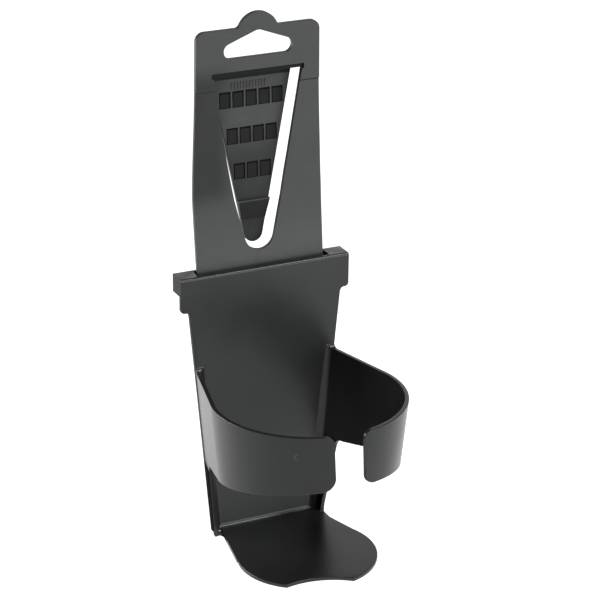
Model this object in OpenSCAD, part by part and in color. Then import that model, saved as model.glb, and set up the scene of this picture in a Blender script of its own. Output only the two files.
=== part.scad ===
// Hanging cup holder: a cup body with a split ring and a shelf, and a
// flat hanger that plugs into the loop behind the top of its back wall.
// Millimetres, +Z up, +X right, the open front of the ring towards -Y.

/* [Cup body] */
// width of the bar at the top of the back wall
bar_w = 80; // [78:0.5:86]
// height of the top of the bar above the underside
bar_top_z = 123.4; // [122.9:0.1:124.4]
// height of the wide tab below the top edge
tab_h = 15.7; // [13:0.1:19]
// outer depth of the loop behind the front face
loop_d = 9.15; // [9.1:0.05:10]
// height of the loop
loop_h = 8.2; // [7:0.1:8.3]
// thickness of the back wall
wall_t = 2; // [1.6:0.1:2.1]
// half width of the back wall at the underside
wall_half_w = 25.7; // [25:0.1:27]

/* [Ring] */
// outer radius of the ring cone at the underside level
ring_r = 34.9; // [33.5:0.1:36]
// widening of the ring cone per millimetre of height
ring_draft = 0.094; // [0.08:0.002:0.11]
// distance from the wall's front face to the ring axis
ring_y = 43.4; // [42:0.1:46]
// wall thickness of the ring
ring_t = 1.9; // [1.6:0.1:2.4]
// height of the ring's top edge at the wall
ring_top_z = 79.6; // [76:0.1:83]
// height of the ring's bottom edge at the wall
ring_low_z = 36.6; // [33:0.1:40]
// width of the gap between the two arm ends
gap_w = 13.3; // [8:0.1:20]

/* [Shelf] */
// thickness of the shelf
shelf_t = 1.7; // [1.4:0.1:2.2]
// radius of the finger scallop in the shelf's front edge
scallop_r = 33.3; // [31:0.1:35]

/* [Hanger] */
// thickness of the hanger plate
hanger_t = 1.8; // [1.5:0.1:2]
// half width of the hanger inside the loop
hanger_half_w = 29.9; // [28.5:0.1:30.3]
// height of the hanger's top edge
hanger_top_z = 228.2; // [227.5:0.1:231]
// radius of the hump on the top edge
hump_r = 9.4; // [9:0.1:11]
// thickness of the spring tongue
tongue_t = 1.8; // [1.4:0.1:2.4]
// forward reach of the tongue's barb
barb_d = 1.6; // [0.8:0.1:1.7]

/* [Hidden] */
$fn = 96;
e = 0.01;

shift_y = 33.4;                  // moves the middle of the depth to y = 0
draft_a = atan(ring_draft);
panel_a = 13.2;                  // heading of the flat side panels
panel_in = 0.06;                 // how far the panels cut into the cone
wall_side = ring_draft / cos(panel_a);
tab_z = bar_top_z - tab_h;
ring_rise = 0.018;               // slope of the ring's top edge
ring_lift = 0.2207;              // slope of the ring's bottom edge
gap_x = -0.3;
gap_lean = 5.4;                  // sideways lean of the gap
slot_half_w = 31;
slot_y1 = 7.7;

// hanger side profile: upright above bend_z, an arc, then a slanted tail
bend_r = 200;
bend_z = 168;
bend_a = 6.5;
plate_y = 9.3;
tail_l = 36;
hook_z = bar_top_z - loop_h - 0.15;   // just under the loop
head_z = 202.4;
window_z = 209.7;
tongue_a = 2.6;
tongue_z = 130.4;
tongue_y = 13.2;
tongue_l = 79.2;
tongue_r = 4.35;                      // round foot of the tongue
tongue_s = atan(0.1996);              // lean of its side edges
tongue_half = tongue_r * cos(tongue_s)
  + tan(tongue_s) * (tongue_l - tongue_r * (1 - sin(tongue_s)));

// everything inside a plane tangent to the ring cone less its offset
module side_half(off) {
  translate([0, -ring_y, 0]) rotate([0, 0, panel_a])
    translate([ring_r - off - panel_in, 0, 0]) rotate([0, draft_a, 0])
      translate([-140, -90, -40]) cube([140, 180, 180]);
}

// cone with two flat flanks running back to the wall
module cup_envelope(off, back_y) {
  translate([0, -ring_y, -5])
    cylinder(h = 100, r1 = ring_r - off - 5 * ring_draft,
             r2 = ring_r - off + 95 * ring_draft);
  intersection() {
    side_half(off);
    mirror([1, 0, 0]) side_half(off);
    translate([-70, -ring_y + 8.8, -5])
      cube([140, back_y + ring_y - 8.8, 100]);
  }
}

// side view of everything that stands forward of the wall, as y and z
module side_profile() {
  fr = 5;
  fy = -14.07;
  fz = ring_low_z - 2.01;
  difference() {
    union() {
      polygon([[wall_t, 0], [-5.15, 0], [-5.15, shelf_t + 2.2],
        [-9.5, ring_low_z + 1.9],
        [-92, ring_low_z + 92 * ring_lift],
        [-92, ring_top_z + 92 * ring_rise],
        [0, ring_top_z], [wall_t, ring_top_z]]);
      // web filling the corner under the ring
      polygon([[-8.6, fz + 0.1], [fy + 4.965, fz + 0.593],
        [fy + 1.078, fz + 4.883], [fy + 1.2, fz + 6], [-6, fz + 6]]);
      // small ramp up to the wall face
      translate([-2.6, ring_top_z - 0.5]) square([2.6 + wall_t, 3]);
    }
    translate([-2.6, ring_top_z + 2.66]) circle(r = 2.6);
    translate([fy, fz]) circle(r = fr);
  }
}

// wall, seen from the front, as x and z
module wall_outline() {
  top_half = wall_half_w + wall_side * tab_z;
  difference() {
    union() {
      polygon([[-wall_half_w, 0], [wall_half_w, 0],
        [top_half, tab_z], [top_half, tab_z + 3],
        [-top_half, tab_z + 3], [-top_half, tab_z]]);
      translate([-bar_w / 2, tab_z + 1.8])
        square([bar_w, tab_h - 1.8]);
      translate([-bar_w / 2 + 1.8, tab_z])
        square([bar_w - 3.6, 4]);
      for (s = [-1, 1]) {
        translate([s * (bar_w / 2 - 1.8), tab_z + 1.8]) circle(r = 1.8);
        translate([s * (top_half + 0.65) - 0.95, tab_z - 1.6]) square([1.9, 3]);
      }
    }
    for (s = [-1, 1])
      translate([s * (top_half + 1.6), tab_z - 1.65]) circle(r = 1.65);
  }
}

module wall() {
  translate([0, wall_t, 0]) rotate([90, 0, 0])
    linear_extrude(wall_t) wall_outline();
}

// rounded inner corner between the wall and a flank
module corner_fillet() {
  fr = 4;
  lean = atan(wall_side);
  inner = (ring_r - panel_in - ring_t - ring_y * sin(panel_a)) / cos(panel_a);
  d = fr * (1 - sin(panel_a)) / cos(panel_a);
  translate([inner, 0, 0]) rotate([0, lean, 0])
    translate([0, 0, -6]) linear_extrude(100) difference() {
      polygon([[-d, 0.5], [1.6, 0.5], [2.6, -3.6],
        [-d + fr * cos(panel_a), -fr + fr * sin(panel_a)], [-d, -fr]]);
      translate([-d + 0.03, -fr + 0.03]) circle(r = fr);
    }
}

module ring() {
  intersection() {
    union() {
      difference() {
        cup_envelope(0, wall_t);
        cup_envelope(ring_t, 0);
      }
      corner_fillet();
      mirror([1, 0, 0]) corner_fillet();
    }
    translate([-70, 0, 0]) rotate([90, 0, 90])
      linear_extrude(140) side_profile();
  }
}

// side line of the gap at height z; s is -1 for the left arm, 1 for the right
function gap_side(s, z) =
  gap_x + s * gap_w / 2 / cos(gap_lean) - (z - 67) * tan(gap_lean);

// waste outside a rounded arm corner, drawn with the arm's edge on y = 0;
// d is 1 at the top edge, -1 below, xe the side line's place on the edge
module arm_corner(s, d, xe, r) {
  zc = -d * r;
  xc = xe - zc * tan(gap_lean) + s * r / cos(gap_lean);
  difference() {
    polygon([[xc - s * (r + 1) * cos(gap_lean), zc - s * (r + 1) * sin(gap_lean)],
      [xe - s * 1.2, 2 * d], [xc, 2 * d], [xc, zc]]);
    translate([xc, zc]) circle(r = r);
  }
}

// slot between the arm ends, with their rounded corners
module gap_cutter() {
  z_top = ring_top_z + 60 * ring_rise;
  z_low = ring_low_z + 60 * ring_lift;
  translate([0, -60, 0]) rotate([90, 0, 0]) linear_extrude(40)
    polygon([[gap_side(-1, 35), 35], [gap_side(1, 35), 35],
      [gap_side(1, 100), 100], [gap_side(-1, 100), 100]]);
  for (s = [-1, 1]) {
    translate([0, -60, z_top]) rotate([90 - atan(ring_rise), 0, 0])
      linear_extrude(40) arm_corner(s, 1, gap_side(s, ring_top_z + 1.5), 3.6);
    translate([0, -60, z_low]) rotate([90 - atan(ring_lift), 0, 0])
      linear_extrude(40) arm_corner(s, -1, gap_side(s, ring_low_z + 18.5), 5.4);
  }
}

// shelf outline as x and y
module shelf_outline() {
  difference() {
    union() {
      polygon([[-22.1, 0.5], [23.5, 0.5], [24.9, -4], [26.9, -4],
        [26.9, -11.5], [32.6, -30.6], [4.5, -38], [-0.7, -38],
        [-27.6, -30.6]]);
      translate([-0.7, -37.7]) circle(r = 27.5);
      translate([4.5, -38]) circle(r = 29.3);
      // root fillet on the left side
      difference() {
        polygon([[-26.64, -3.4], [-22, -3.4], [-22, -8.2], [-23.6, -8.2],
          [-26.64, -4.6]]);
        translate([-26.64, -7.2]) circle(r = 3.2);
      }
    }
    translate([-9.6, -92.2]) circle(r = scallop_r);
  }
}

module shelf() {
  linear_extrude(shelf_t) shelf_outline();
  // concave blend along the foot of the wall
  difference() {
    translate([-24.4, -1.7, shelf_t - 0.3]) cube([48.8, 2.2, 2]);
    translate([-30, -1.7, shelf_t + 1.7]) rotate([0, 90, 0])
      cylinder(h = 60, r = 1.7);
  }
}

// loop that the hanger passes through, with cored ends
module loop() {
  z0 = bar_top_z - loop_h;
  difference() {
    translate([-bar_w / 2, 0, z0]) cube([bar_w, loop_d, loop_h]);
    translate([-slot_half_w, wall_t, z0 - 1])
      cube([2 * slot_half_w, slot_y1 - wall_t, loop_h + 2]);
    for (s = [-1, 1])
      translate([s * (bar_w / 4 + slot_half_w / 2) - 3, wall_t, z0 - 1])
        cube([6, loop_d - wall_t - 1.4, loop_h - 0.7]);
  }
}

module top_edge_round() {
  r = 1.1;
  translate([-60, 0, 0]) rotate([90, 0, 90]) linear_extrude(120)
    difference() {
      translate([-1, bar_top_z - r]) square([1 + r, r + 1]);
      translate([r, bar_top_z - r]) circle(r = r);
    }
}

module cup_body() {
  color([0.09, 0.09, 0.095])
  translate([0, shift_y, 0])
  difference() {
    union() {
      wall();
      ring();
      shelf();
      loop();
    }
    gap_cutter();
    top_edge_round();
  }
}

// side profile of the hanger plate, as y and z
module hanger_profile() {
  translate([plate_y, bend_z]) square([hanger_t, 80]);
  translate([plate_y - bend_r, bend_z]) {
    intersection() {
      difference() {
        circle(r = bend_r + hanger_t, $fn = 720);
        circle(r = bend_r, $fn = 720);
      }
      polygon([[bend_r * 0.9, 0], [bend_r * 1.1, 0],
        [bend_r * 1.1 * cos(bend_a), -bend_r * 1.1 * sin(bend_a)],
        [bend_r * 0.9 * cos(bend_a), -bend_r * 0.9 * sin(bend_a)]]);
    }
    rotate(-bend_a) translate([bend_r, -tail_l])
      square([hanger_t, tail_l]);
  }
}

// tapering window with a round foot, as x and z
module window() {
  rb = 6.97;
  a = 13.5;
  zc = 129.3 + rb;
  top = 20.7;
  translate([0, zc]) circle(r = rb);
  polygon([[-rb * cos(a), zc - rb * sin(a)], [rb * cos(a), zc - rb * sin(a)],
    [11, 152], [14.25, 170], [17.5, 190], [top, window_z],
    [-top, window_z], [-17.5, 190], [-14.25, 170], [-11, 152]]);
  // relief notches at the top corners
  translate([-top - 0.6, window_z - 2.2]) square([2 * top + 1.2, 2.2]);
}

module hang_hole() {
  z0 = 215.45;
  r = 3.3;
  end_x = 15.8 - r;
  slope = 0.3765;
  a = atan(slope);
  for (s = [-1, 1]) translate([s * end_x, z0 + r]) circle(r = r);
  translate([-end_x, z0]) square([2 * end_x, r]);
  polygon([[-end_x - r * sin(a), z0 + r + r * cos(a)], [-end_x, z0 + r - 1],
    [end_x, z0 + r - 1], [end_x + r * sin(a), z0 + r + r * cos(a)],
    [0.8, z0 + r + r / cos(a) + slope * (end_x - 0.8)],
    [-0.8, z0 + r + r / cos(a) + slope * (end_x - 0.8)]]);
}

module hanger_outline() {
  top = hanger_top_z;
  hw = hanger_half_w;
  cr = 4;
  // foot blends of the hump: circles that touch the shoulder and the hump
  br = 2;
  bz = top + br;
  hz = top + 6.45 - hump_r;
  bx = sqrt((hump_r + br) * (hump_r + br) - (bz - hz) * (bz - hz));
  difference() {
    union() {
      polygon([[-hw + 3, 100], [hw - 3, 100], [hw - 0.1, 112], [hw, 131],
        [hw + 0.15, 155], [hw - 0.3, 171], [hw - 1, 190], [hw - 1.3, 202],
        [hw - 1.5, top - cr], [-hw + 1.5, top - cr], [-hw + 1.3, 202],
        [-hw + 1, 190], [-hw + 0.3, 171], [-hw - 0.15, 155], [-hw, 131],
        [-hw + 0.1, 112]]);
      translate([-hw + 1.5 + cr, top - cr - 1])
        square([2 * (hw - 1.5 - cr), cr + 1]);
      for (s = [-1, 1])
        translate([s * (hw - 1.5 - cr), top - cr]) circle(r = cr);
      translate([0, hz]) circle(r = hump_r);
      polygon([[-bx, top - 1], [bx, top - 1], [bx, top],
        [bx * hump_r / (hump_r + br), hz + (bz - hz) * hump_r / (hump_r + br)],
        [-bx * hump_r / (hump_r + br), hz + (bz - hz) * hump_r / (hump_r + br)],
        [-bx, top]]);
    }
    window();
    hang_hole();
    for (s = [-1, 1]) translate([s * bx, bz]) circle(r = br);
  }
}

module hanger_plate() {
  intersection() {
    union() {
      translate([-40, 0, 0]) rotate([90, 0, 90])
        linear_extrude(80) hanger_profile();
      // header, slightly proud of the plate
      translate([-40, plate_y - 0.45, head_z]) cube([80, 0.6, 60]);
    }
    translate([0, 30, 0]) rotate([90, 0, 0])
      linear_extrude(60) hanger_outline();
  }
  // hooks that catch under the loop's rear wall
  for (s = [-1, 1])
    translate([s * 17 - 6, (hook_z - 115.05) * tan(bend_a), hook_z])
      rotate([90, 0, 90]) linear_extrude(12)
        polygon([[5.4, 0], [8.5, 0], [8.5, -1.15], [6, -5.15], [4.9, -5.15],
          [5.2, -0.55]]);
}

// front view of the tongue in its own frame, as x and height
module tongue_outline() {
  a = tongue_s;
  r = tongue_r;
  translate([0, r]) circle(r = r);
  polygon([[-r * cos(a), r - r * sin(a)], [r * cos(a), r - r * sin(a)],
    [tongue_half, tongue_l], [-tongue_half, tongue_l]]);
}

module tongue() {
  translate([0, tongue_y, tongue_z]) rotate([-tongue_a, 0, 0]) {
    difference() {
      translate([0, tongue_t, 0]) rotate([90, 0, 0])
        linear_extrude(tongue_t) tongue_outline();
      // recessed grip pockets: five, four and three in a row
      for (i = [-2:2]) pocket(6.1 * i, 61.1);
      for (i = [-1.5:1:1.5]) pocket(6.1 * i, 45);
      for (i = [-1:1]) pocket(6.1 * i, 29.1);
    }
    // row of fine upright ribs above the pockets
    for (i = [-5.5:1:5.5])
      translate([1.4 * i - 1.5, -0.3, 69.1]) cube([0.65, 0.5, 3]);
    // barb with its ledge facing up, flush with the tongue's sides
    intersection() {
      translate([-9, 0, 0]) rotate([90, 0, 90]) linear_extrude(18)
        polygon([[0.5, 19.5], [-barb_d, 19.5], [-barb_d, 18.7], [0, 9.7],
          [0.5, 9.7]]);
      translate([0, 5, 0]) rotate([90, 0, 0]) linear_extrude(10)
        tongue_outline();
    }
  }
}

// one pocket, with a deeper groove along its left and top edges
module pocket(x, z) {
  translate([x - 2.6, -1, z]) cube([5.2, 1.6, 7.2]);
  translate([0, 0.95, 0]) rotate([90, 0, 0]) linear_extrude(2)
    polygon([[x - 2.6, z], [x - 2.05, z], [x - 2.05, z + 6.35],
      [x + 2.6, z + 6.35], [x + 2.6, z + 7.2], [x - 2.6, z + 7.2]]);
}

// cross web that carries the tongue behind the header
module web() {
  z0 = window_z + 0.3;
  z1 = window_z + 2.4;
  ty = tongue_y + tan(tongue_a) * (209 - tongue_z);
  translate([-tongue_half, 0, 0]) rotate([90, 0, 90])
    linear_extrude(2 * tongue_half) difference() {
      union() {
        translate([plate_y + 0.5, z0]) square([ty - plate_y + 0.3, z1 - z0]);
        polygon([[ty, 208.6], [ty + tongue_t, 208.6], [ty + tongue_t, z0 + 0.6],
          [ty + tongue_t - 1.4, z1], [ty - 0.5, z1], [ty - 0.5, z0]]);
        translate([ty - 1.6, z0 - 1.6]) square([1.7, 1.7]);
      }
      translate([ty - 1.6, z0 - 1.6]) circle(r = 1.6);
    }
  // stiffening lip along the window's top edge
  translate([-21.2, plate_y + 0.6, window_z - 1.9])
    cube([42.4, 3.1, 5]);
}

module hanger() {
  color([0.2, 0.2, 0.205])
  translate([0, shift_y, 0]) {
    hanger_plate();
    tongue();
    web();
  }
}

cup_body();
hanger();
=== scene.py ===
import math

import bmesh
import bpy
from mathutils import Matrix, Vector
from mathutils.bvhtree import BVHTree


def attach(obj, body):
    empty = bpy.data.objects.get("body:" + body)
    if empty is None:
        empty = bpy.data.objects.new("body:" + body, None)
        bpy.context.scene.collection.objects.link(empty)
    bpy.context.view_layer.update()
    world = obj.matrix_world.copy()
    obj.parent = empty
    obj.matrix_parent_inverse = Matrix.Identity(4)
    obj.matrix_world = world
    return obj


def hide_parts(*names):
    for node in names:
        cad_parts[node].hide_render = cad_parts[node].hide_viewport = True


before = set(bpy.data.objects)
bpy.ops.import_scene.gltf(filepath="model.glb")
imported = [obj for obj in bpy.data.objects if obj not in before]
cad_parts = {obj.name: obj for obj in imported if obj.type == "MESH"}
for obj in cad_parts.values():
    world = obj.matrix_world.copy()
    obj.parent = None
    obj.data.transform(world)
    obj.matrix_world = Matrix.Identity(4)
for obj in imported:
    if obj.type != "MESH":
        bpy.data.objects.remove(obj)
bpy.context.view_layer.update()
scene = bpy.context.scene


# ---------------------------------------------------------------- camera
def make_camera():
    az, el, roll = math.radians(25.731), math.radians(22.724), math.radians(0.6226)
    back = Vector((-math.sin(az) * math.cos(el), -math.cos(az) * math.cos(el),
                   math.sin(el)))
    target = Vector((0.016300, 0.033400, 0.104972))
    f = -back
    r = f.cross(Vector((0, 0, 1))).normalized()
    u = r.cross(f)
    r2 = math.cos(roll) * r + math.sin(roll) * u
    u2 = -math.sin(roll) * r + math.cos(roll) * u
    data = bpy.data.cameras.new("camera")
    data.lens = 144.0
    data.sensor_width = 36.0
    data.clip_start, data.clip_end = 0.05, 20.0
    cam = bpy.data.objects.new("camera", data)
    place = target + back * 1.04812
    cam.matrix_world = Matrix((
        (r2.x, u2.x, back.x, place.x),
        (r2.y, u2.y, back.y, place.y),
        (r2.z, u2.z, back.z, place.z),
        (0, 0, 0, 1)))
    scene.collection.objects.link(cam)
    scene.camera = cam


# ---------------------------------------------------------------- node helpers
class Tree:
    def __init__(self, name):
        self.m = bpy.data.materials.new(name)
        self.m.use_nodes = True
        self.t = self.m.node_tree
        self.b = self.t.nodes["Principled BSDF"]
        place = self.t.nodes.new("ShaderNodeTexCoord")
        self.coord = place.outputs["Object"]
        self.normal = place.outputs["Normal"]

    def node(self, kind, **values):
        n = self.t.nodes.new(kind)
        for k, v in values.items():
            setattr(n, k, v)
        return n

    def put(self, socket, value):
        if isinstance(value, bpy.types.NodeSocket):
            self.t.links.new(value, socket)
        else:
            socket.default_value = value

    def math(self, op, a, b=0.0, c=0.0, clamp=False):
        n = self.node("ShaderNodeMath", operation=op, use_clamp=clamp)
        for s, v in zip(n.inputs, (a, b, c)):
            self.put(s, v)
        return n.outputs[0]

    def noise(self, scale, detail=2.0, rough=0.5, vector=None):
        n = self.node("ShaderNodeTexNoise")
        self.put(n.inputs["Vector"], vector or self.coord)
        n.inputs["Scale"].default_value = scale
        n.inputs["Detail"].default_value = detail
        n.inputs["Roughness"].default_value = rough
        return n.outputs["Fac"]

    def xyz(self):
        n = self.node("ShaderNodeSeparateXYZ")
        self.put(n.inputs[0], self.coord)
        return n.outputs

    def remap(self, v, a, b, c, d, smooth=False):
        n = self.node("ShaderNodeMapRange")
        if smooth:
            n.interpolation_type = "SMOOTHSTEP"
        self.put(n.inputs["Value"], v)
        for k, x in zip(("From Min", "From Max", "To Min", "To Max"), (a, b, c, d)):
            n.inputs[k].default_value = x
        return n.outputs[0]

    def band(self, v, lo, hi, soft):
        """1 between lo and hi, 0 outside, over a soft edge."""
        return self.math("MULTIPLY", self.remap(v, lo - soft, lo, 0.0, 1.0, True),
                         self.remap(v, hi, hi + soft, 1.0, 0.0, True))

    def most(self, a, b):
        return self.math("MAXIMUM", a, b)

    def mix(self, fac, a, b):
        n = self.node("ShaderNodeMix", data_type="RGBA")
        self.put(n.inputs[0], fac)
        self.put(n.inputs[6], a)
        self.put(n.inputs[7], b)
        return n.outputs[2]

    def bump(self, height, distance, strength=1.0, normal=None):
        n = self.node("ShaderNodeBump")
        n.inputs["Strength"].default_value = strength
        n.inputs["Distance"].default_value = distance
        self.put(n.inputs["Height"], height)
        if normal is not None:
            self.put(n.inputs["Normal"], normal)
        return n.outputs[0]


def grey(v, blue=1.0):
    return (v * 0.98, v * 1.01, v * blue, 1.0)


# ---------------------------------------------------------------- materials
def cup_material():
    """Semi-gloss black moulding with a faint ripple and cloudy gloss."""
    t = Tree("cup_plastic")
    cloud = t.noise(38.0, 3.0, 0.55)
    base = t.mix(t.remap(cloud, 0.3, 0.7, 0.0, 1.0),
                 grey(0.013, 1.02), grey(0.017, 1.02))
    # painted shade on the end faces that look to -X, and on the flanks under the ring: darker
    # base and weaker specular
    x, y, z = t.xyz()[0:3]
    n_side = t.node("ShaderNodeSeparateXYZ")
    t.put(n_side.inputs[0], t.normal)
    side = t.math("MULTIPLY", t.remap(n_side.outputs[0], -0.994, -0.984, 1.0, 0.0),
                  t.remap(y, 0.0320, 0.0330, 0.0, 1.0))
    foot_shade = t.math("MULTIPLY", t.remap(n_side.outputs[0], -0.92, -0.86, 1.0, 0.0),
                  t.remap(z, 0.033, 0.042, 1.35, 0.0, True))
    foot_shade = t.math("MULTIPLY", foot_shade, t.remap(y, 0.0200, 0.0220, 0.0, 1.0))
    side = t.most(side, foot_shade)
    base = t.mix(t.math("MULTIPLY", side, 0.5), base, grey(0.003))
    # painted light on the foot of the wall, between the ring and the shelf
    painted_lift = t.math("MULTIPLY", t.remap(z, 0.030, 0.042, 0.60, 0.0, True),
                  t.remap(n_side.outputs[1], -0.97, -0.93, 1.0, 0.0))
    painted_lift = t.math("MULTIPLY", painted_lift, t.remap(y, 0.0315, 0.0325, 0.0, 1.0))
    base = t.mix(painted_lift, base, grey(0.06, 1.02))
    # faint crescent left by the gate on the left arm's outer face
    gx, gz = t.math("ADD", x, 0.0215), t.math("SUBTRACT", z, 0.0722)
    r1 = t.math("SQRT", t.math("ADD", t.math("MULTIPLY", gx, gx), t.math("MULTIPLY", gz, gz)))
    crescent = t.math("MULTIPLY", t.band(r1, 0.0012, 0.0016, 0.0003),
                      t.remap(gx, -0.0006, 0.0002, 1.0, 0.0, True))
    crescent = t.math("MULTIPLY", crescent, t.remap(y, -0.0440, -0.0430, 1.0, 0.0))
    base = t.mix(t.math("MULTIPLY", crescent, 0.5), base, grey(0.06))
    # painted shade: the ring is a shade darker than the wall, with a little less specular
    ring_shade = t.math("MULTIPLY", t.remap(y, 0.010, 0.024, 1.0, 0.0, True),
                  t.remap(z, 0.030, 0.037, 0.0, 1.0, True))
    base = t.mix(t.math("MULTIPLY", ring_shade, 0.22), base, grey(0.004))
    t.put(t.b.inputs["Base Color"], base)
    # the same painted shade weakens the specular on those faces
    spec = t.math("MULTIPLY_ADD", side, -0.29, 0.34, clamp=True)
    t.put(t.b.inputs["Specular IOR Level"],
          t.math("MULTIPLY_ADD", ring_shade, -0.05, spec, clamp=True))
    t.put(t.b.inputs["Roughness"], t.remap(cloud, 0.3, 0.7, 0.280, 0.300))
    n = t.bump(t.noise(90.0, 1.0, 0.4), 0.00003)
    n = t.bump(crescent, 0.00010, 1.0, n)
    t.put(t.b.inputs["Normal"], n)
    t.b.inputs["IOR"].default_value = 1.5
    t.b.inputs["Specular Tint"].default_value = (0.985, 1.0, 0.998, 1.0)
    return t.m


def hanger_material():
    """Matte grey moulding: eroded grain, soft mottling, with painted shade in the pockets, on
    the barb, under the header and on the plate's upper left, and painted light low on the
    plate.
    """
    t = Tree("hanger_plastic")
    x, y, z = t.xyz()[0:3]
    ax = t.math("ABSOLUTE", x)
    cloud = t.noise(60.0, 4.0, 0.6)
    grain = t.noise(2600.0, 2.0, 0.65)
    base = t.mix(t.remap(cloud, 0.3, 0.7, 0.0, 1.0),
                 grey(0.028, 1.0), grey(0.039, 1.0))
    # painted light: a little lighter towards the bottom of the plate
    painted_lift = t.math("MULTIPLY", t.remap(z, 0.122, 0.150, 0.62, 0.0, True),
                  t.remap(y, 0.0450, 0.0460, 1.0, 0.0))
    base = t.mix(painted_lift, base, grey(0.065))
    # cloudier tone on the tongue
    blot = t.math("MULTIPLY", t.remap(t.noise(150.0, 3.0, 0.6), 0.38, 0.62, 0.0, 0.38, True),
                  t.remap(y, 0.0450, 0.0460, 0.25, 1.0))
    base = t.mix(blot, base, grey(0.022))
    # weld line that runs down from the foot of the window
    off = t.math("SUBTRACT", x, t.math("MULTIPLY", t.math("SUBTRACT", z, 0.129), 0.42))
    off = t.math("ABSOLUTE", t.math("ADD", off, 0.0006))
    line = t.math("MULTIPLY", t.remap(off, 0.00015, 0.0006, 1.0, 0.0, True),
                  t.remap(z, 0.1215, 0.1235, 0.0, 1.0, True))
    line = t.math("MULTIPLY", line, t.remap(z, 0.1295, 0.1300, 1.0, 0.0))
    base = t.mix(t.math("MULTIPLY", line, 0.35), base, grey(0.035))

    # depth behind the tongue's leaning front face
    deep = t.math("SUBTRACT", y, t.math("MULTIPLY_ADD", z, 0.04541, 0.0406787))
    # painted shade on the floors of the grip pockets
    pocket_shade = t.math("MULTIPLY", t.band(deep, 0.00030, 0.00130, 0.00012),
                    t.remap(deep, 0.00070, 0.00085, 0.86, 1.0))
    pocket_shade = t.math("MULTIPLY", pocket_shade, t.band(z, 0.1590, 0.1990, 0.0003))
    side = t.math("SUBTRACT", ax, t.math("MULTIPLY", z, 0.1996))
    pocket_shade = t.math("MULTIPLY", pocket_shade, t.remap(side, -0.0233, -0.0230, 1.0, 0.0))
    # painted shade on the face of the barb and on the lower end of the tongue
    barb_shade = t.math("MULTIPLY", t.remap(deep, -0.00016, -0.00006, 1.0, 0.0),
                  t.band(z, 0.1395, 0.14935, 0.00012))
    barb_shade = t.math("MULTIPLY", barb_shade, t.remap(ax, 0.0078, 0.0080, 1.0, 0.0))
    barb_shade = t.math("MULTIPLY", barb_shade, t.remap(y, 0.0450, 0.0452, 0.0, 1.0))
    low_shade = t.math("MULTIPLY", t.remap(z, 0.166, 0.188, 1.0, 0.0, True),
                 t.remap(deep, -0.0005, -0.0003, 0.0, 1.0))
    # shaded strip under the header, over the stiffening lip
    strip = t.math("MULTIPLY", t.band(z, 0.2042, 0.2102, 0.0002),
                   t.band(y, 0.04300, 0.05060, 0.0001))
    strip = t.math("MULTIPLY", strip, t.remap(ax, 0.02135, 0.02145, 1.0, 0.0))
    # painted shade along the foot of the header's step
    step_shade = t.math("MULTIPLY", t.band(z, 0.20185, 0.20245, 0.00012),
                  t.remap(y, 0.0431, 0.0433, 1.0, 0.0))
    # painted shade on the upper left strip of the plate, with weaker specular
    left_shade = t.math("MULTIPLY", t.remap(x, -0.020, -0.008, 1.0, 0.0, True),
                  t.band(z, 0.160, 0.204, 0.012))
    # all the painted shade, mixed toward near black; it also weakens the specular
    painted_shade = t.most(t.math("MULTIPLY", pocket_shade, 0.90), t.math("MULTIPLY", barb_shade, 0.66))
    painted_shade = t.most(painted_shade, t.math("MULTIPLY", strip, 0.80))
    painted_shade = t.most(painted_shade, t.math("MULTIPLY", step_shade, 0.55))
    painted_shade = t.most(painted_shade, t.math("MULTIPLY", low_shade, 0.42))
    painted_shade = t.most(painted_shade, t.math("MULTIPLY", left_shade, 0.46))
    base = t.mix(painted_shade, base, grey(0.004))
    t.put(t.b.inputs["Base Color"], base)
    rough = t.remap(cloud, 0.3, 0.7, 0.50, 0.58)
    t.put(t.b.inputs["Roughness"], rough)
    t.put(t.b.inputs["Specular IOR Level"], t.math("MULTIPLY_ADD", painted_shade, -0.30, 0.32))
    n = t.bump(t.noise(220.0, 2.0, 0.5), 0.00005)
    n = t.bump(grain, 0.00003, 1.0, n)
    n = t.bump(line, -0.00006, 1.0, n)
    t.put(t.b.inputs["Normal"], n)
    t.b.inputs["IOR"].default_value = 1.48
    t.b.inputs["Specular Tint"].default_value = (0.968, 1.0, 0.990, 1.0)
    return t.m


def floor_material():
    m = bpy.data.materials.new("floor")
    m.use_nodes = True
    b = m.node_tree.nodes["Principled BSDF"]
    b.inputs["Base Color"].default_value = (0.5, 0.5, 0.5, 1)
    b.inputs["Roughness"].default_value = 0.9
    b.inputs["Specular IOR Level"].default_value = 0.2
    b.inputs["Emission Color"].default_value = (1, 1, 1, 1)
    b.inputs["Emission Strength"].default_value = 0.92
    return m


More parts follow.
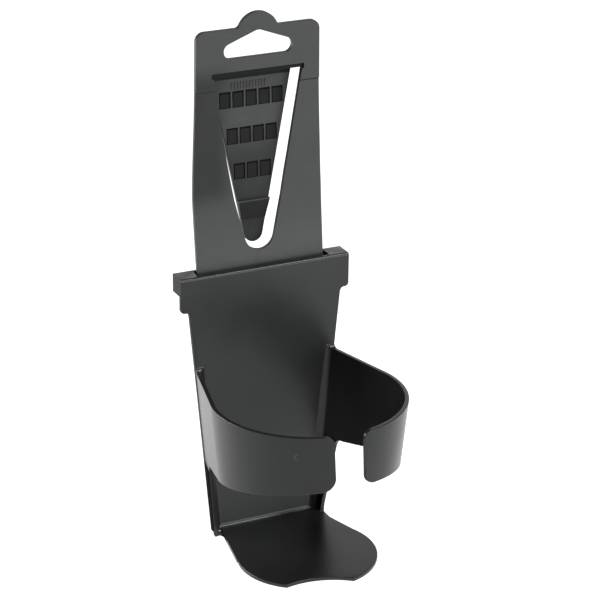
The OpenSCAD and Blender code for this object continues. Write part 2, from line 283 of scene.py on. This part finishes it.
# ---------------------------------------------------------------- pieces
def moulded(node, name, width, segments, sharp=26.0):
    """A copy of a CAD node with every sharp edge rounded, as a new mesh."""
    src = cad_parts[node]
    bm = bmesh.new()
    bm.from_mesh(src.data)
    bmesh.ops.remove_doubles(bm, verts=bm.verts, dist=2e-6)
    bmesh.ops.dissolve_degenerate(bm, edges=bm.edges, dist=4e-5)
    skin = BVHTree.FromBMesh(bm)
    bmesh.ops.dissolve_limit(bm, angle_limit=math.radians(0.35),
                             verts=bm.verts, edges=bm.edges)
    bm.normal_update()
    edges = [e for e in bm.edges if e.is_manifold
             and e.calc_face_angle(0.0) > math.radians(sharp)]
    bmesh.ops.bevel(bm, geom=edges, offset=width, offset_type="OFFSET",
                    segments=segments, profile=0.5, affect="EDGES",
                    clamp_overlap=False, loop_slide=True, harden_normals=False)
    # a rounded edge never leaves the old skin by more than a share of its width
    for v in bm.verts:
        near, _, _, away = skin.find_nearest(v.co)
        if away > 0.6 * width:
            v.co = near
    wide = [f for f in bm.faces if len(f.verts) > 4]
    bmesh.ops.triangulate(bm, faces=wide, ngon_method="BEAUTY")
    for f in bm.faces:
        f.smooth = True
    mesh = bpy.data.meshes.new(name)
    bm.to_mesh(mesh)
    bm.free()
    o = bpy.data.objects.new(name, mesh)
    scene.collection.objects.link(o)
    wn = o.modifiers.new("normals", "WEIGHTED_NORMAL")
    wn.mode = "FACE_AREA"
    wn.weight = 60
    wn.keep_sharp = False
    return o


def make_pieces():
    cup = moulded("cup_body", "cup_body_moulding", 0.00030, 3)
    cup.data.materials.append(cup_material())
    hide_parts("cup_body")
    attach(cup, "cup_body")
    hang = moulded("hanger", "hanger_moulding", 0.00014, 2)
    hang.data.materials.append(hanger_material())
    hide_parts("hanger")
    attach(hang, "hanger")


# ---------------------------------------------------------------- studio
def aim(o, at):
    d = Vector(at) - o.location
    o.rotation_euler = d.to_track_quat("-Z", "Y").to_euler()


def softbox(name, place, at, w, h, power):
    data = bpy.data.lights.new(name, "AREA")
    data.shape = "RECTANGLE"
    data.size, data.size_y = w, h
    data.energy = power
    o = bpy.data.objects.new(name, data)
    o.location = place
    aim(o, at)
    scene.collection.objects.link(o)
    return o


def make_studio():
    bm = bmesh.new()
    s = 4.0
    quad = [bm.verts.new((x, y, 0.0)) for x, y in ((-s, -s), (s, -s), (s, s), (-s, s))]
    bm.faces.new(quad)
    mesh = bpy.data.meshes.new("floor")
    bm.to_mesh(mesh)
    bm.free()
    floor = bpy.data.objects.new("floor", mesh)
    floor.data.materials.append(floor_material())
    scene.collection.objects.link(floor)
    softbox("side_left", (-0.62, 0.42, 0.12), (0.0, 0.0, 0.06), 0.5, 0.35, 7.5)
    softbox("overhead_front", (0.40, -0.39, 0.93), (0.0, 0.0, 0.10), 0.30, 0.22, 5.6)
    softbox("back_right", (0.55, 1.14, 0.42), (0.0, 0.0, 0.03), 0.50, 0.26, 0.9)
    softbox("front_right", (0.60, -1.20, 0.22), (0.0, 0.0, 0.12), 0.9, 0.4, 9.8)
    world = bpy.data.worlds.new("studio")
    world.use_nodes = True
    bg = world.node_tree.nodes["Background"]
    bg.inputs["Color"].default_value = (1, 1, 1, 1)
    bg.inputs["Strength"].default_value = 0.25
    scene.world = world
    scene.view_settings.view_transform = "Standard"
    scene.view_settings.look = "None"
    scene.view_settings.exposure = 0.0


make_camera()
make_pieces()
make_studio()
